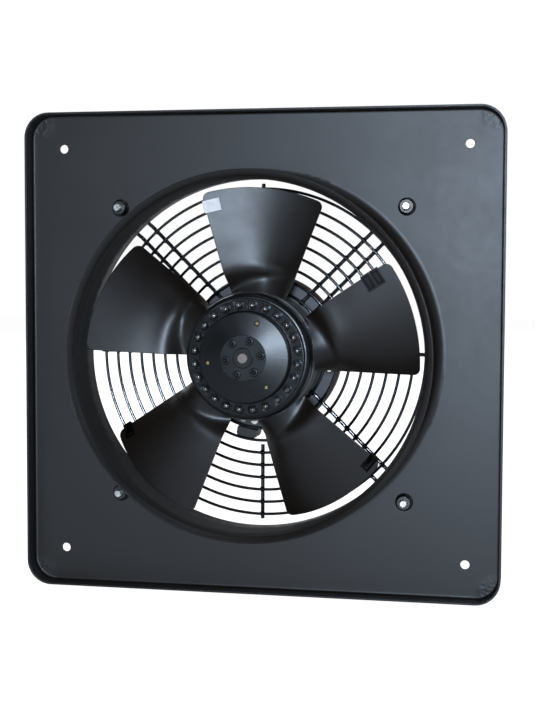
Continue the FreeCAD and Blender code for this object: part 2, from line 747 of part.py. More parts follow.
def hub_rivets():
    """Tubular rivets with a domed head and a dimple."""
    top = FACE_Y - RIVET_HEAD_H
    head = rod(RIVET_HEAD_R, top, FACE_Y)
    head = head.makeFillet(RIVET_HEAD_EDGE_R, edges_in_plane(head, top))
    dimple = Part.makeSphere(RIVET_DIMPLE_R, Vector(0, top - RIVET_DIMPLE_RISE, 0))
    rivet = rod(RIVET_R, FACE_Y, cavity_y).fuse(head).cut(dimple)
    rivet.translate(polar(RIVET_CIRCLE_R, 0, 0))
    return Part.makeCompound(ring_of(rivet, RIVET_COUNT, FACE_PHASE))


def brass_plugs():
    plug = rod(PLUG_R, plug_floor_y - PLUG_H, plug_floor_y, polar(plug_circle_r, 0, 0))
    return Part.makeCompound(ring_of(plug, PLUG_COUNT, FACE_PHASE))


def rotor_end_ring():
    """Cast ring in the groove, with a pocket round each pin that opens outwards."""
    ring = tube(groove_outer_r, groove_inner_r, RING_FRONT_Y, GROOVE_FLOOR_Y)
    low = RING_FRONT_Y - CUT
    floor = RING_FRONT_Y + POCKET_DEPTH
    pocket = rod(POCKET_R, low, floor, Vector(0, 0, pin_circle_r))
    mouth = Part.makeBox(2 * POCKET_R, floor - low, POCKET_R + LIP_W, Vector(-POCKET_R, low, pin_circle_r))
    return ring.cut(ring_of(pocket.fuse(mouth), PIN_COUNT, PIN_PHASE))


def ring_pins():
    """Domed pins that stand in the pockets of the end ring."""
    foot_y = RING_FRONT_Y + POCKET_DEPTH
    dome = (0, PIN_TIP_Y + PIN_R)
    pin = revolve([(0, foot_y), (PIN_R, foot_y), (PIN_R, dome[1]), arc(dome, PIN_R, 0, -90)])
    pin.translate(polar(pin_circle_r, 0, 0))
    return Part.makeCompound(ring_of(pin, PIN_COUNT, PIN_PHASE))


def rotor_cage():
    return tube(ROTOR_R - ROTOR_WALL, cage_inner_r, CAGE_FRONT_Y, CAGE_FRONT_Y + CAGE_LEN)


def mix(a, b, share):
    return a + (b - a) * share


def blade_angle(radius, share):
    """Angle on the blade at a radius, from its near edge (0) to its far edge (1)."""
    out = (radius - collar_r) / (TIP_R - collar_r)
    near = mix(NEAR_ROOT_ANGLE, NEAR_TIP_ANGLE, out)
    far = mix(FAR_ROOT_ANGLE, FAR_TIP_ANGLE, out)
    return mix(near, far, share)


def blade_line(radius, share):
    """Height of the blade's curled surface at a radius, before its root is swept forward.

    The near half is almost flat; towards the far edge the blade curls back.
    """
    out = (radius - collar_r) / (TIP_R - collar_r)
    eased = out * (2 - out)
    straight = mix(STRAIGHT_ROOT, STRAIGHT_TIP, eased)
    curl = abs(share) ** mix(CURL_ROOT, CURL_TIP, eased)
    fall = straight * share + (1 - straight) * curl
    return mix(mix(NEAR_ROOT_Y, NEAR_TIP_Y, eased), mix(FAR_ROOT_Y, FAR_TIP_Y, out), fall)


def blade_y(radius, angle):
    """Height of the blade's rotor-side surface with the root pressed to meet the collar.

    A fold runs out from the collar across the root. Outside it the sheet dips back on the near
    side; inside it the sheet sweeps forward to the collar's front edge.
    """
    near = blade_angle(radius, 0)
    far = blade_angle(radius, 1)
    share = (angle - near) / (far - near)
    fold = ROOT_FOLD_MIN + ROOT_FOLD_LEAD * max(0.0, share)
    reach = max(ROOT_DIP_MIN, ROOT_DIP_EDGE - fold)
    climb = min(1.0, max(0.0, (radius - collar_r - fold) / reach))
    dip = ROOT_DIP_SLOPE * reach
    fold_y = blade_line(collar_r + fold, share) + dip
    rise = max(ROOT_SWEEP_MIN * fold, ROOT_RISE_SHARE * (fold_y - COLLAR_FRONT_Y))
    flare = max(0.0, 1 - (radius - collar_r) / fold)
    swept = blade_line(radius, share) - min(rise, ROOT_SWEEP_MAX * fold) * flare ** ROOT_SWEEP_POWER
    return swept + dip * (1 - climb ** 2 * (3 - 2 * climb))


def blade_section(angle):
    """Closed thin outline of the blade in the half-plane at an angle round the axis."""
    span = TIP_R - collar_r
    radii = [ROTOR_R - COLLAR_T, ROTOR_R]
    radii += [collar_r + span * share for share in SECTION_SHARES]
    top = []
    back = []
    for radius in radii:
        y = blade_y(radius, angle)
        chord = math.radians(blade_angle(radius, 1) - blade_angle(radius, 0)) * radius
        pitch = (blade_line(radius, 1) - blade_line(radius, 0)) / chord
        rise = blade_y(radius + SLOPE_STEP, angle) - blade_y(radius - SLOPE_STEP, angle)
        slope = rise / (2 * SLOPE_STEP)
        along = math.hypot(1, slope)
        thick = BLADE_T * math.hypot(along, pitch) / along
        top.append(polar(radius, angle, y))
        back.append(polar(radius - thick * slope / along, angle, y + thick / along))
    curves = []
    for points in (top, back[::-1]):
        spline = Part.BSplineCurve()
        spline.interpolate(points)
        curves.append(spline.toShape())
    tip = Part.LineSegment(top[-1], back[-1]).toShape()
    root = Part.LineSegment(back[0], top[0]).toShape()
    return Part.Wire([curves[0], tip, curves[1], root])


def blade_outline():
    """Prism along Y with the blade's outline seen along the axis, its tip corners round."""
    low = NEAR_TIP_Y - BELL_R
    depth = COLLAR_BACK_Y - low
    corners = [
        polar(collar_mid_r, blade_angle(collar_mid_r, 0), low),
        polar(TIP_R, blade_angle(TIP_R, 0), low),
        polar(TIP_R, blade_angle(TIP_R, 1), low),
        polar(collar_mid_r, blade_angle(collar_mid_r, 1), low),
    ]
    edges = [
        Part.LineSegment(corners[0], corners[1]).toShape(),
        Part.Arc(corners[1], polar(TIP_R, blade_angle(TIP_R, 0.5), low), corners[2]).toShape(),
        Part.LineSegment(corners[2], corners[3]).toShape(),
        Part.Arc(corners[3], polar(collar_mid_r, blade_angle(collar_mid_r, 0.5), low), corners[0]).toShape(),
    ]
    prism = Part.Face(Part.Wire(edges)).extrude(Vector(0, depth, 0))
    tips = []
    for e in prism.Edges:
        upright = abs(e.BoundBox.YLength - depth) < TINY
        if upright and math.hypot(e.CenterOfMass.x, e.CenterOfMass.z) > TIP_R - TINY:
            tips.append(e)
    return prism.makeFillet(TIP_CORNER_R, tips)


def blade():
    first = min(NEAR_ROOT_ANGLE, NEAR_TIP_ANGLE) - SECTION_MARGIN
    last = max(FAR_ROOT_ANGLE, FAR_TIP_ANGLE) + SECTION_MARGIN
    shares = [i / (BLADE_SECTIONS - 1) for i in range(BLADE_SECTIONS)]
    sections = [blade_section(mix(first, last, share)) for share in shares]
    return Part.makeLoft(sections, True, False).common(blade_outline())


def impeller():
    """Collar that grips the rotor, with five twisted blades whose roots sweep up to its front edge."""
    collar = tube(collar_r, ROTOR_R, COLLAR_FRONT_Y, COLLAR_BACK_Y)
    return collar.fuse(ring_of(blade(), BLADE_COUNT)).removeSplitter()


def balance_clip(blade_index, edge, radius, width):
    """Folded clip that grips the near or the far edge of a blade."""
    side = 0 if edge == "near" else 1
    inboard = CLIP_REACH * math.cos(math.radians(CLIP_TILT))
    sweep = math.degrees(inboard / radius) * (1 - 2 * side)
    start = blade_angle(radius, side)
    p0 = polar(radius, start, blade_y(radius, start))
    p1 = polar(radius, start + sweep, blade_y(radius, start + sweep))
    outer = radius + width / 2
    edge_angle = blade_angle(outer, side)
    inward = (p1 - p0).normalize()
    along = polar(outer, edge_angle, blade_y(outer, edge_angle)) - p0
    across = (along - inward * along.dot(inward)).normalize()
    normal = inward.cross(across).normalize()
    if normal.y > 0:
        normal = normal * -1
    front = CLIP_CLEAR
    back = -BLADE_T - CLIP_CLEAR
    profile = [
        (CLIP_REACH, front), (CLIP_REACH, front + CLIP_SHEET), (-CLIP_CLEAR - CLIP_SHEET, front + CLIP_SHEET),
        (-CLIP_CLEAR - CLIP_SHEET, back - CLIP_SHEET), (CLIP_REACH, back - CLIP_SHEET),
        (CLIP_REACH, back), (-CLIP_CLEAR, back), (-CLIP_CLEAR, front),
    ]
    base = p0 - across * (width / 2)
    points = [base + inward * u + normal * v for u, v in profile]
    clip = Part.Face(Part.makePolygon(points + points[:1])).extrude(across * width)
    return turned(clip, 360.0 * blade_index / BLADE_COUNT)


def silver_balance_clip():
    return balance_clip(*SILVER_CLIP, SILVER_CLIP_WIDTH)


def black_balance_clips():
    return Part.makeCompound([balance_clip(*clip, BLACK_CLIP_WIDTH) for clip in BLACK_CLIPS])


nodes = {
    "mounting_plate": mounting_plate(),
    "guard_rings": guard_rings(),
    "guard_arms": guard_arms(),
    "guard_spokes": guard_spokes(),
    "guard_bolts": guard_bolts(),
    "guard_washers": guard_washers(),
    "flange_nuts": flange_nuts(),
    "motor_plate": motor_plate(),
    "motor_screws": motor_screws(),
    "cable_gland": cable_gland(),
    "gland_screws": gland_screws(),
    "stator_base": stator_base(),
    "rear_cap": rear_cap(),
    "stator_core": stator_core(),
    "slot_insulators": slot_insulators(),
    "stator_winding": stator_winding(),
    "front_bearing_outer_ring": bearing_outer_ring(FRONT_BEARING_Y),
    "front_bearing_inner_ring": bearing_inner_ring(FRONT_BEARING_Y),
    "front_bearing_balls": bearing_balls(FRONT_BEARING_Y),
    "rear_bearing_outer_ring": bearing_outer_ring(REAR_BEARING_Y),
    "rear_bearing_inner_ring": bearing_inner_ring(REAR_BEARING_Y),
    "rear_bearing_balls": bearing_balls(REAR_BEARING_Y),
    "shaft": shaft(),
    "retaining_ring": retaining_ring(),
    "rotor_shell": rotor_shell(),
    "rotor_cage": rotor_cage(),
    "rotor_end_ring": rotor_end_ring(),
    "ring_pins": ring_pins(),
    "rotor_hub": rotor_hub(),
    "hub_rivets": hub_rivets(),
    "brass_plugs": brass_plugs(),
    "impeller": impeller(),
    "silver_balance_clip": silver_balance_clip(),
    "black_balance_clips": black_balance_clips(),
}

os.makedirs("parts", exist_ok=True)
for name, shape in nodes.items():
    shape.exportStep(f"parts/{name}.step")
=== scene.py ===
import math

import bpy
from mathutils import Euler, Matrix, Vector


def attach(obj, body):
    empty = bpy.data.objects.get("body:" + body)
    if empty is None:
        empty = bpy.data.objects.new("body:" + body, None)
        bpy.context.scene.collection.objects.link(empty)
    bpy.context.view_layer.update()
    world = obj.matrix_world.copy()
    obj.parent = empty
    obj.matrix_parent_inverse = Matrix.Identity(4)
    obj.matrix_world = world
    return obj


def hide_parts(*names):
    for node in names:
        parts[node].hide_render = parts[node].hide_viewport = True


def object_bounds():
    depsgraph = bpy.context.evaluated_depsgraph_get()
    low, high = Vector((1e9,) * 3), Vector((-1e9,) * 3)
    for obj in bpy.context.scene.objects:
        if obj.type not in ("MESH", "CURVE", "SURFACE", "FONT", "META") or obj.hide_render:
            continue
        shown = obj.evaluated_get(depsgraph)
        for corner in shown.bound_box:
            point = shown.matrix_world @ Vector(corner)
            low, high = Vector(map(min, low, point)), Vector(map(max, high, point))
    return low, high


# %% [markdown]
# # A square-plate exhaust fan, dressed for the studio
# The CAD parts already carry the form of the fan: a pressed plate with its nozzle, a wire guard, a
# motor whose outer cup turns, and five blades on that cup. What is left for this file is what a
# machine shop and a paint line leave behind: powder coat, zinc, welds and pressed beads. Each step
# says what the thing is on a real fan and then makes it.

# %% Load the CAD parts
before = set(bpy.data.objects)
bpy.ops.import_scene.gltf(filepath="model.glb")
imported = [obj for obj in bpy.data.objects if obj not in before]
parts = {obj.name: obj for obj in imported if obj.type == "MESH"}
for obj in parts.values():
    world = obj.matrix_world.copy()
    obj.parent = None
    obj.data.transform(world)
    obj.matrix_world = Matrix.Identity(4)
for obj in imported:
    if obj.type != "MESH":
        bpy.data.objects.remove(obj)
cad_low, cad_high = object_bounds()
bpy.ops.object.select_all(action="DESELECT")
print("CAD box, m:", [round(v, 4) for v in (*cad_low, *cad_high)])
print("nodes:", len(parts))

# %% [markdown]
# # Materials as sentences
# A material in Blender is a graph of nodes. Wiring every node by hand hides what the graph says, so
# three small classes let a finish be written as arithmetic: `Flow` is a number that changes over the
# surface, `Graph` makes and joins nodes, and `Finish` is one material round a Principled shader.

# %% Flow: a number that changes over a surface
class Flow:
    """One output socket. Sums, differences and products of flows add Math nodes."""

    def __init__(self, graph, socket):
        self.graph = graph
        self.socket = socket

    def math(self, operation, first, second):
        return self.graph.node("ShaderNodeMath", {"operation": operation}, {0: first, 1: second})

    def __add__(self, other):
        return self.math("ADD", self, other)

    def __sub__(self, other):
        return self.math("SUBTRACT", self, other)

    def __rsub__(self, other):
        return self.math("SUBTRACT", other, self)

    def __mul__(self, other):
        return self.math("MULTIPLY", self, other)

    def at_most(self, other):
        return self.math("MINIMUM", self, other)

    __radd__ = __add__
    __rmul__ = __mul__


print("Flow understands:", "+", "-", "*", "at_most")


# %% Graph: nodes of a material or of the world
class Graph:
    """A node tree. One method makes any node: its settings first, then its sockets."""

    def __init__(self, tree):
        self.tree = tree

    def node(self, kind, settings=None, sockets=None, output=0):
        made = self.tree.nodes.new(kind)
        for name, value in (settings or {}).items():
            setattr(made, name, value)
        for name, value in (sockets or {}).items():
            self.fill(made.inputs[name], value)
        return Flow(self, made.outputs[output])

    def fill(self, socket, value):
        if isinstance(value, Flow):
            self.tree.links.new(value.socket, socket)
        else:
            socket.default_value = value


print("Graph is ready to make nodes")


# %% Finish: one material round a Principled shader
class Finish(Graph):
    """A material. Constants go on the shader itself; flows go to its varying sockets."""

    def __init__(self, name, **constants):
        self.material = bpy.data.materials.new(name)
        self.material.use_nodes = True
        super().__init__(self.material.node_tree)
        self.shader = self.tree.nodes["Principled BSDF"]
        for socket, value in constants.items():
            self.shader.inputs[socket.replace("_", " ")].default_value = value
        self.place = self.node("ShaderNodeTexCoord", output="Object")

    def set(self, socket, value):
        self.fill(self.shader.inputs[socket], value)


print("Finish varies:", "Base Color", "Roughness", "Normal")

# %% [markdown]
# # Patterns
# Nearly every metal finish is built from the same few patterns: soft noise for paint that flowed
# unevenly, sparse specks for dust, and bumps small enough to blur a reflection. They are measured in
# millimetres here, because that is how a finish is seen: orange peel has waves of a millimetre or
# two, a sheet bends over a hand's breadth.

# %% Pattern helpers
MM = 0.001


def noise(finish, wave_mm, detail=2.0):
    """Soft noise from 0 to 1 whose blobs are about wave_mm wide."""
    sockets = {"Vector": finish.place, "Scale": 1 / (wave_mm * MM), "Detail": detail}
    return finish.node("ShaderNodeTexNoise", {}, sockets)


def window(finish, value, low, high):
    """0 below low, 1 above high, a smooth step between."""
    settings = {"interpolation_type": "SMOOTHSTEP", "clamp": True}
    sockets = {"Value": value, "From Min": low, "From Max": high}
    return finish.node("ShaderNodeMapRange", settings, sockets)


def blend(finish, share, first, second):
    """A colour between two, by a flow from 0 to 1."""
    return finish.node("ShaderNodeMix", {"data_type": "RGBA"}, {0: share, 6: first, 7: second}, output=2)


def bump(finish, height, depth_mm, under=None):
    """Normals tilted by a height pattern whose full range is depth_mm deep."""
    sockets = {"Height": height, "Distance": depth_mm * MM, "Strength": 1.0}
    if under:
        sockets["Normal"] = under
    return finish.node("ShaderNodeBump", {}, sockets)


print("a millimetre is", MM, "m")


# %% Edges and places
def rounded(finish, radius_mm):
    """Normals that turn over every edge as if it were rounded: paint never leaves an edge sharp."""
    return finish.node("ShaderNodeBevel", {"samples": 4}, {"Radius": radius_mm * MM})


def vector_math(finish, operation, first, second=(0, 0, 0), output=0):
    return finish.node("ShaderNodeVectorMath", {"operation": operation}, {0: first, 1: second}, output)


def from_axis(finish):
    """Distance from the shaft's axis, in metres."""
    flat = vector_math(finish, "MULTIPLY", finish.place, (1, 0, 1))
    return vector_math(finish, "LENGTH", flat, output="Value")


def near_corners(finish, at_mm, reach_mm):
    """1 close to the four corners of a square plate round the axis, 0 farther than reach_mm."""
    flat = vector_math(finish, "MULTIPLY", vector_math(finish, "ABSOLUTE", finish.place), (1, 0, 1))
    away = vector_math(finish, "DISTANCE", flat, (at_mm * MM, 0, at_mm * MM), output="Value")
    return 1 - window(finish, away, 0.4 * reach_mm * MM, reach_mm * MM)


print("plate corners lie", round(math.hypot(cad_high.x, cad_high.z), 4), "m from the axis")

# %% [markdown]
# # Powder coat
# The plate, the nozzle and the blades are sheet steel, sprayed with black powder and baked until it
# melts. Baked powder is never a mirror: it keeps a shallow orange peel, and a few grains of dust are
# caught in it. The black itself is nearly neutral; what a viewer sees is the cool sheen on top, so
# the colour stays almost black and the sheen is left to the shader's tinted reflection. Where the
# plate's flange is drawn round a corner the sheet has too much material, and the press leaves small
# wrinkles under the paint. The dish behind the motor is thinner in paint along its rim, where the
# steel shows through warm and brown.

# %% Powder coat
COOL = (0.72, 0.84, 1.0, 1.0)
DUST_GREY = (0.06, 0.063, 0.066, 1)
DUST_MM = 1.1
DUST_PEAKS = (0.74, 0.80)
CLOUD_MM = 60.0
CLOUD_LIFT = 1.35
SMEAR_MM = 9.0
SHEET_WAVE_MM = 70.0
WRINKLE_MM = 3.6
WRINKLE_DEPTH_MM = 0.4
WRINKLE_REACH_MM = 15.0


def powder_coat(
    name, black, shine, peel_mm=0.006, wave_mm=1.6, dent_mm=0.05, edge_mm=0.9,
    drawn_corner_mm=0, gloss=0.6,
):
    """Black powder coat: orange peel over a slightly wavy sheet, with grains of dust."""
    coat = Finish(name, Specular_Tint=COOL, IOR=1.5, Specular_IOR_Level=gloss)
    cloud = noise(coat, CLOUD_MM, 3.0)
    dust = window(coat, noise(coat, DUST_MM, 1.0), *DUST_PEAKS)
    deep = blend(coat, cloud, (*black, 1), (*[c * CLOUD_LIFT for c in black], 1))
    coat.set("Base Color", blend(coat, dust * 0.3, deep, DUST_GREY))
    coat.set("Roughness", shine + (cloud - 0.5) * 0.08 + (noise(coat, SMEAR_MM) - 0.5) * 0.06)
    sheet = bump(coat, noise(coat, SHEET_WAVE_MM, 1.0), dent_mm, rounded(coat, edge_mm))
    if drawn_corner_mm:
        corners = near_corners(coat, drawn_corner_mm, WRINKLE_REACH_MM)
        sheet = bump(coat, noise(coat, WRINKLE_MM, 1.0) * corners, WRINKLE_DEPTH_MM, sheet)
    coat.set("Normal", bump(coat, noise(coat, wave_mm, 2.0), peel_mm, sheet))
    return coat


print("dust grains measure", DUST_MM, "mm, clouds", CLOUD_MM, "mm")

# %% Places where the coat differs
THIN_FROM_MM = 3.5
BARE_FROM_MM = 1.5
DUST_EDGE_MM = 0.6


def worn_rim(coat, rim_mm, bare):
    """Thin paint near a round edge: the colour turns to the metal's over the last millimetres."""
    painted = coat.shader.inputs["Base Color"].links[0].from_socket
    worn = window(coat, from_axis(coat), (rim_mm - THIN_FROM_MM) * MM, (rim_mm - BARE_FROM_MM) * MM)
    coat.set("Base Color", blend(coat, worn, Flow(coat, painted), (*bare, 1)))
    return coat


def dusty_bore(coat, bore_mm, dust=0.5):
    """The wall inside a round opening is matt: dust and grease of years of air settle there."""
    plain = coat.shader.inputs["Roughness"].links[0].from_socket
    inside = 1 - window(coat, from_axis(coat), bore_mm * MM, (bore_mm + DUST_EDGE_MM) * MM)
    coat.set("Roughness", Flow(coat, plain) + inside * dust)
    return coat


PLATE_CORNER_MM = 181.0
BORE_MM = 132.8
DISH_RIM_MM = 62.0
BARE_RIM = (0.045, 0.026, 0.019)

sprayed = powder_coat(
    "plate powder coat", (0.0072, 0.0050, 0.0034), 0.42, peel_mm=0.009, drawn_corner_mm=PLATE_CORNER_MM
)
plate_coat = dusty_bore(sprayed, BORE_MM)
dish_coat = worn_rim(powder_coat("dish powder coat", (0.03, 0.033, 0.04), 0.42), DISH_RIM_MM, BARE_RIM)
blade_coat = powder_coat("blade powder coat", (0.0056, 0.0034, 0.0018), 0.41, dent_mm=0.02, gloss=0.66)
print("powder coats:", [coat.material.name for coat in (plate_coat, dish_coat, blade_coat)])

# %% [markdown]
# # Coated wire and castings
# The guard is drawn wire, dipped after it was welded, and the dip is glossier than powder: it draws
# a thin bright line along every wire. The rotor cup and the stator base are aluminium castings: their
# skin is grainy where the mould was, and dark paint only fills part of that grain. The pins that
# join the rotor's end ring are the ends of its cast bars, rubbed to a dark shine.

# %% Wire, castings and plastic
BLOTCH_MM = 14.0
BLOTCH_LIFT = 1.5


def cast_skin(name, colour, shine, grain_mm=0.7, depth_mm=0.02, edge_mm=0.4, metallic=0.0, gloss=0.5):
    """The grainy skin of a casting or a moulding, blotched where paint or oil ran unevenly."""
    skin = Finish(name, Specular_Tint=COOL, Metallic=metallic, Specular_IOR_Level=gloss)
    grain = noise(skin, grain_mm, 3.0)
    blotch = noise(skin, BLOTCH_MM, 3.0)
    light = (*[c * BLOTCH_LIFT for c in colour], 1)
    skin.set("Base Color", blend(skin, blotch * 0.7 + grain * 0.3, (*colour, 1), light))
    skin.set("Roughness", shine + (blotch - 0.5) * 0.15)
    skin.set("Normal", bump(skin, grain, depth_mm, rounded(skin, edge_mm)))
    return skin


wire_coat = powder_coat(
    "wire coat", (0.0015, 0.0015, 0.002), 0.13, peel_mm=0.001, wave_mm=0.9, dent_mm=0.0, edge_mm=0.1
)
wire_coat.shader.inputs["IOR"].default_value = 1.8
rotor_paint = cast_skin(
    "rotor paint", (0.002, 0.002, 0.0022), 0.30, grain_mm=0.8, depth_mm=0.03, gloss=0.44
)
ring_skin = cast_skin("end ring skin", (0.0025, 0.0023, 0.002), 0.26, gloss=0.36)
pin_skin = cast_skin("rubbed pin ends", (0.14, 0.14, 0.15), 0.20, depth_mm=0.008, metallic=0.9)
base_skin = cast_skin("stator base paint", (0.02, 0.021, 0.023), 0.45)
gland_plastic = cast_skin("gland plastic", (0.012, 0.012, 0.014), 0.5, grain_mm=0.4, depth_mm=0.01)
insulation = cast_skin("moulded insulation", (0.42, 0.38, 0.30), 0.5)
print("castings ready")

# %% [markdown]
# # Bare metals
# Screws, bearings, clips and copper carry no paint. Bare metal is never one even colour: plating and
# oxide cloud it, and the tool that cut it leaves fine streaks. A dull, stained metal is made less
# metallic here, because its oxide film scatters light as paint does.

# %% Bare metals
STAIN_MM = 2.5
BROKEN_EDGE_MM = 0.25


def bare_metal(name, colour, shine, streak_mm=0.25, metallic=1.0, depth_mm=0.002, stain=0.72):
    """Metal clouded by stains, with fine tool streaks that blur its reflections."""
    metal = Finish(name, Metallic=metallic)
    cloud = noise(metal, STAIN_MM, 3.0)
    dull = (*[c * stain for c in colour], 1)
    metal.set("Base Color", blend(metal, cloud, dull, (*colour, 1)))
    metal.set("Roughness", shine + (cloud - 0.5) * 0.2)
    streaks = noise(metal, streak_mm, 2.0)
    metal.set("Normal", bump(metal, streaks, depth_mm, rounded(metal, BROKEN_EDGE_MM)))
    return metal


zinc = bare_metal(
    "bright zinc", (0.70, 0.75, 0.80), 0.3, streak_mm=0.5, depth_mm=0.0012, stain=0.85
)
black_oxide = bare_metal("black oxide", (0.06, 0.066, 0.075), 0.36)
clip_black = bare_metal("blackened spring steel", (0.02, 0.022, 0.026), 0.38)
ground_steel = bare_metal(
    "ground steel", (0.19, 0.18, 0.175), 0.46, streak_mm=0.4, depth_mm=0.008, stain=0.5
)
clip_steel = bare_metal("dull clip steel", (0.37, 0.41, 0.49), 0.42, metallic=0.15)
brass = bare_metal("dull brass", (0.26, 0.21, 0.09), 0.5, metallic=0.4)
copper = bare_metal("enamelled copper", (0.72, 0.32, 0.14), 0.25)
lamination = bare_metal("electrical steel", (0.30, 0.31, 0.33), 0.4)
print("bare metals ready")

# %% [markdown]
# # Who wears what
# A finish belongs to a way of making: parts off the same machine or out of the same bath share one.
# The list below reads like a parts list, one line for each finish. The CAD parts keep their meshes
# and only the materials in their slots change.

# %% Give every CAD part its finish
finishes = {
    plate_coat: ("mounting_plate",),
    dish_coat: ("motor_plate",),
    blade_coat: ("impeller",),
    wire_coat: ("guard_rings", "guard_arms", "guard_spokes"),
    zinc: ("guard_bolts", "guard_washers", "motor_screws", "gland_screws"),
    black_oxide: ("flange_nuts", "retaining_ring"),
    clip_black: ("black_balance_clips",),
    gland_plastic: ("cable_gland",),
    base_skin: ("stator_base", "rear_cap"),
    rotor_paint: ("rotor_shell", "rotor_hub", "hub_rivets"),
    ring_skin: ("rotor_end_ring", "rotor_cage"),
    pin_skin: ("ring_pins",),
    ground_steel: (
        "shaft", "front_bearing_outer_ring", "front_bearing_inner_ring", "front_bearing_balls",
        "rear_bearing_outer_ring", "rear_bearing_inner_ring", "rear_bearing_balls",
    ),
    clip_steel: ("silver_balance_clip",),
    brass: ("brass_plugs",),
    lamination: ("stator_core",),
    insulation: ("slot_insulators",),
    copper: ("stator_winding",),
}
for finish, names in finishes.items():
    for name in names:
        for material_slot in parts[name].material_slots:
            material_slot.material = finish.material
print("finished CAD parts:", sum(len(names) for names in finishes.values()), "of", len(parts))

# %% [markdown]
# # Balance clips with a pressed bead
# A new impeller never runs true, so small folded clips of spring steel are pushed over the edges of
# its light blades. The CAD clips are plain folded strips. A real leaf has a bead pressed along it,
# which stiffens it and shows as two thin bright lines. The clips are copied, their loose triangles
# merged to whole faces, and each outer leaf is inset twice: once flat, and once raised.

# %% Copy the clips and merge their faces
LEAF_AREA = 88 * MM * MM
BEAD_MARGIN_MM = 1.5
BEAD_SLOPE_MM = 0.45
BEAD_RISE_MM = 0.5

plain_clips = parts["black_balance_clips"]
clips = bpy.data.objects.new("beaded_clips", plain_clips.data.copy())
bpy.context.collection.objects.link(clips)
bpy.context.view_layer.objects.active = clips
clips.select_set(True)
bpy.ops.object.mode_set(mode="EDIT")
bpy.ops.mesh.select_all(action="SELECT")
bpy.ops.mesh.remove_doubles(threshold=1e-6)
bpy.ops.mesh.dissolve_limited(angle_limit=math.radians(2))
bpy.ops.mesh.select_mode(type="FACE")
bpy.ops.mesh.select_all(action="DESELECT")
bpy.ops.object.mode_set(mode="OBJECT")
print("faces of the plain clips:", len(clips.data.polygons))

# %% Press the beads
leaves = [face for face in clips.data.polygons if face.area > LEAF_AREA]
for face in leaves:
    face.select = True
bpy.ops.object.mode_set(mode="EDIT")
bpy.ops.mesh.inset(thickness=BEAD_MARGIN_MM * MM, use_individual=True)
bpy.ops.mesh.inset(thickness=BEAD_SLOPE_MM * MM, depth=BEAD_RISE_MM * MM, use_individual=True)
bpy.ops.object.mode_set(mode="OBJECT")
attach(clips, "rotor")
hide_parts("black_balance_clips")
bpy.ops.object.select_all(action="DESELECT")
print("leaves with a bead:", len(leaves))

# %% [markdown]
# # Welds of the guard
# A wire guard is resistance welded: two electrodes squeeze the crossing wires until they melt into
# each other, and a small flat pillow of steel is pressed out round every crossing. Under the dip coat
# it looks like a fillet in each of the four corners. One pillow is modelled from a coarse ball, then
# copied to every crossing and the copies are joined, because ninety loose pieces are hard to handle.

# %% Where the wires cross
OUTER_RING_MM = 128.0
RING_PITCH_MM = 9.75
RING_COUNT = 9
LEG_OFFSET_MM = 6.15
SPOKE_START_MM = 73.0
WELD_Y_MM = 9.15
QUARTER_TURN = math.pi / 2
EIGHTH_TURN = math.pi / 4

crossings = []
for ring in range(RING_COUNT):
    ring_mm = OUTER_RING_MM - RING_PITCH_MM * ring
    along = math.sqrt(ring_mm ** 2 - LEG_OFFSET_MM ** 2)
    for quarter in range(4):
        arm = EIGHTH_TURN + QUARTER_TURN * quarter
        crossings += [(side * LEG_OFFSET_MM, along, arm) for side in (-1, 1)]
        if ring_mm > SPOKE_START_MM:
            crossings.append((0.0, ring_mm, arm - EIGHTH_TURN))
print("crossings:", len(crossings))

# %% One pillow
PILLOW_R_MM = 2.3
FLATTENED = 0.42


def weld_pillow():
    """A pressed pillow of weld metal at the origin, flat along Y."""
    radius = PILLOW_R_MM * MM
    bpy.ops.mesh.primitive_uv_sphere_add(segments=8, ring_count=6, radius=radius, location=(0, 0, 0))
    pillow = bpy.context.object
    bpy.ops.object.mode_set(mode="EDIT")
    bpy.ops.mesh.select_all(action="SELECT")
    bpy.ops.transform.resize(value=(1.0, FLATTENED, 1.0))
    bpy.ops.object.mode_set(mode="OBJECT")
    bpy.ops.object.shade_smooth()
    return pillow


pillow = weld_pillow()
print("faces of one pillow:", len(pillow.data.polygons))

# %% Copy it to the crossings
copies = [pillow]
while len(copies) < len(crossings):
    copy = pillow.copy()
    copy.data = pillow.data.copy()
    bpy.context.collection.objects.link(copy)
    copies.append(copy)
for copy, (across, along, turn) in zip(copies, crossings):
    place = Matrix.Rotation(turn, 4, "Y") @ Matrix.Translation((across * MM, WELD_Y_MM * MM, along * MM))
    copy.data.transform(place)
bpy.ops.object.select_all(action="DESELECT")
for copy in copies:
    copy.select_set(True)
bpy.context.view_layer.objects.active = pillow
bpy.ops.object.join()
pillow.name = "guard_welds"
pillow.data.materials.append(wire_coat.material)
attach(pillow, "frame")
bpy.ops.object.select_all(action="DESELECT")
print("weld faces:", len(pillow.data.polygons))

# %% [markdown]
# # Who sees the white
# The fan stands in a white studio, but a black fan in a room of white paper would lose its shape: its
# paint would mirror white everywhere. A Light Path node tells what kind of ray has arrived. The camera
# and glass see the studio white, mirror-like reflections see a small share of it, and the light that
# falls on the fan comes from the lamps alone.

# %% A share from 0 to 1 for each kind of ray
MIRRORED = 0.04


def sees_white(graph):
    """1 for the camera and through glass, a small share in reflections, 0 for all other rays."""
    eye = graph.node("ShaderNodeLightPath", output="Is Camera Ray")
    glass = graph.node("ShaderNodeLightPath", output="Is Transmission Ray")
    mirror = graph.node("ShaderNodeLightPath", output="Is Glossy Ray")
    return (eye + glass + mirror * MIRRORED).at_most(1.0)


print("share of the white that reflections see:", MIRRORED)

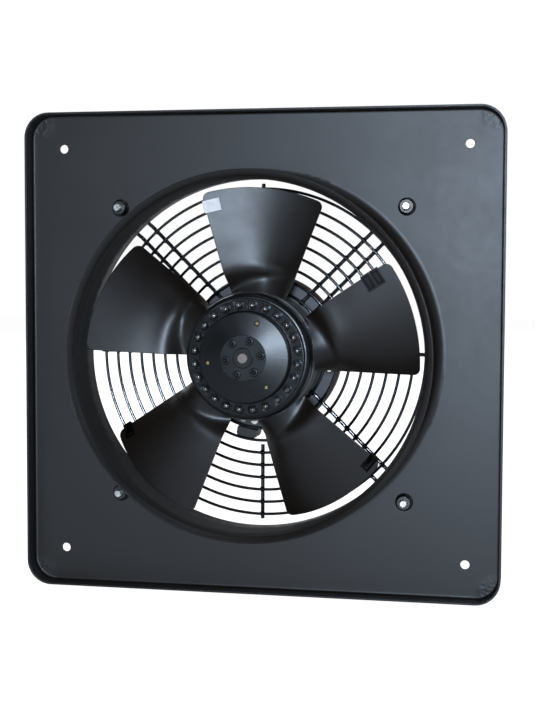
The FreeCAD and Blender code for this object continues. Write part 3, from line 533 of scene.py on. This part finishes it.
# %% [markdown]
# # The floor
# The fan stands on pale paper. A pale floor could be made white by pouring light on it, but that
# light would also land on the fan and turn its black paint grey. So the floor is a plain matt paper
# that is seen with a little glow added: its lit part comes out white, and where the fan takes its
# light away the shadow still shows.

# %% Floor
def pale_paper(name, glow, white):
    """Pale diffuse paper, seen with a glow that makes its lit part plain white."""
    paper = Finish(name, Roughness=0.9, Base_Color=(0.9, 0.9, 0.9, 1))
    output = paper.tree.nodes["Material Output"]
    shine = paper.node("ShaderNodeEmission", {}, {"Color": (1, 1, 1, 1), "Strength": white / glow})
    own = Flow(paper, paper.shader.outputs[0])
    seen = paper.node("ShaderNodeMixShader", {}, {0: sees_white(paper) * glow, 1: own, 2: shine})
    paper.fill(output.inputs["Surface"], seen)
    return paper.material


FLOOR_SIDE = 12.0
GLOW_SHARE = 0.5
PAPER_WHITE = 0.95

bpy.ops.mesh.primitive_plane_add(size=FLOOR_SIDE, location=(0, 0, cad_low.z))
floor = bpy.context.object
floor.name = "floor"
floor.data.materials.append(pale_paper("paper", GLOW_SHARE, PAPER_WHITE))
print("floor at z", round(cad_low.z, 4))

# %% [markdown]
# # The backdrop
# The world is what surrounds the scene: plain white for whoever sees it, and only a dim ambient light
# for the matt surfaces.

# %% Backdrop
AMBIENT = 0.05

world = bpy.data.worlds.new("studio")
bpy.context.scene.world = world
world.use_nodes = True
studio = Graph(world.node_tree)
ambient = studio.node("ShaderNodeBackground", {}, {"Color": (0.95, 0.98, 1.0, 1), "Strength": AMBIENT})
white = studio.node("ShaderNodeBackground", {}, {"Color": (1, 1, 1, 1), "Strength": 1.0})
backdrop = studio.node("ShaderNodeMixShader", {}, {0: sees_white(studio), 1: ambient, 2: white})
studio.fill(world.node_tree.nodes["World Output"].inputs["Surface"], backdrop)
print("backdrop ready")

# %% [markdown]
# # Lamps
# Black paint has hardly any colour of its own. What shows its shape is the sheen of lamps on it, so
# the lamps are placed for their reflections. The key is small and stands far behind the camera, a
# little to its right and higher: it draws the broad sheen on the flat plate and the tight one on the
# rotor. Large soft lamps above, at the sides and behind do the same for whoever walks round the fan.
# Each is given by the brightness of its surface, and its power follows from its size.

# %% Lamps
def soft_lamp(name, place, size, radiance, tint=(1, 1, 1)):
    """A square lamp that faces the fan, its surface as bright as radiance."""
    bpy.ops.object.light_add(type="AREA", location=place)
    lamp = bpy.context.object
    lamp.name = name
    lamp.rotation_euler = (-Vector(place)).to_track_quat("-Z", "Y").to_euler()
    lamp.data.size = size
    lamp.data.energy = radiance * math.pi * size * size
    lamp.data.color = tint
    lamp.visible_camera = False
    return lamp


soft_lamp("key", (0.525, -4.24, 0.47), 0.6, 112.0, (0.93, 0.97, 1.0))
soft_lamp("top", (0.3, -0.3, 2.3), 1.5, 0.9)
soft_lamp("rear", (-1.5, 2.7, 1.9), 1.8, 4.0)
for side, hand in (("left", -1), ("right", 1)):
    soft_lamp(side + " rear", (hand * 2.5, 2.1, 1.0), 1.4, 2.8)
    soft_lamp(side + " side", (hand * 3.0, -0.3, 1.1), 1.4, 2.0)

# %% [markdown]
# # The camera
# It stands a metre in front, two hands' breadths to the right of the shaft and a little above it. The
# lens is long enough to keep the square plate nearly square. Its turn is written as three small
# turns, one after the other: roll, tip, then swing.

# %% Camera
CAMERA_PLACE = (0.2091, -1.0362, 0.0642)
SWING = 0.1940
TIP = -0.0632
ROLL = -0.0035
LENS_MM = 68.52

bpy.ops.object.camera_add(location=CAMERA_PLACE)
camera = bpy.context.object
camera.name = "camera"
level = Euler((math.pi / 2, 0, 0)).to_matrix()
rolled = Euler((0, ROLL, 0)).to_matrix()
tipped = Euler((TIP, 0, 0)).to_matrix()
swung = Euler((0, 0, SWING)).to_matrix()
camera.rotation_euler = (swung @ tipped @ rolled @ level).to_euler()
camera.data.lens = LENS_MM
camera.data.sensor_width = 36
bpy.context.scene.camera = camera
bpy.context.scene.view_settings.view_transform = "Standard"
print("camera stands", round(camera.location.length, 3), "m from the fan")
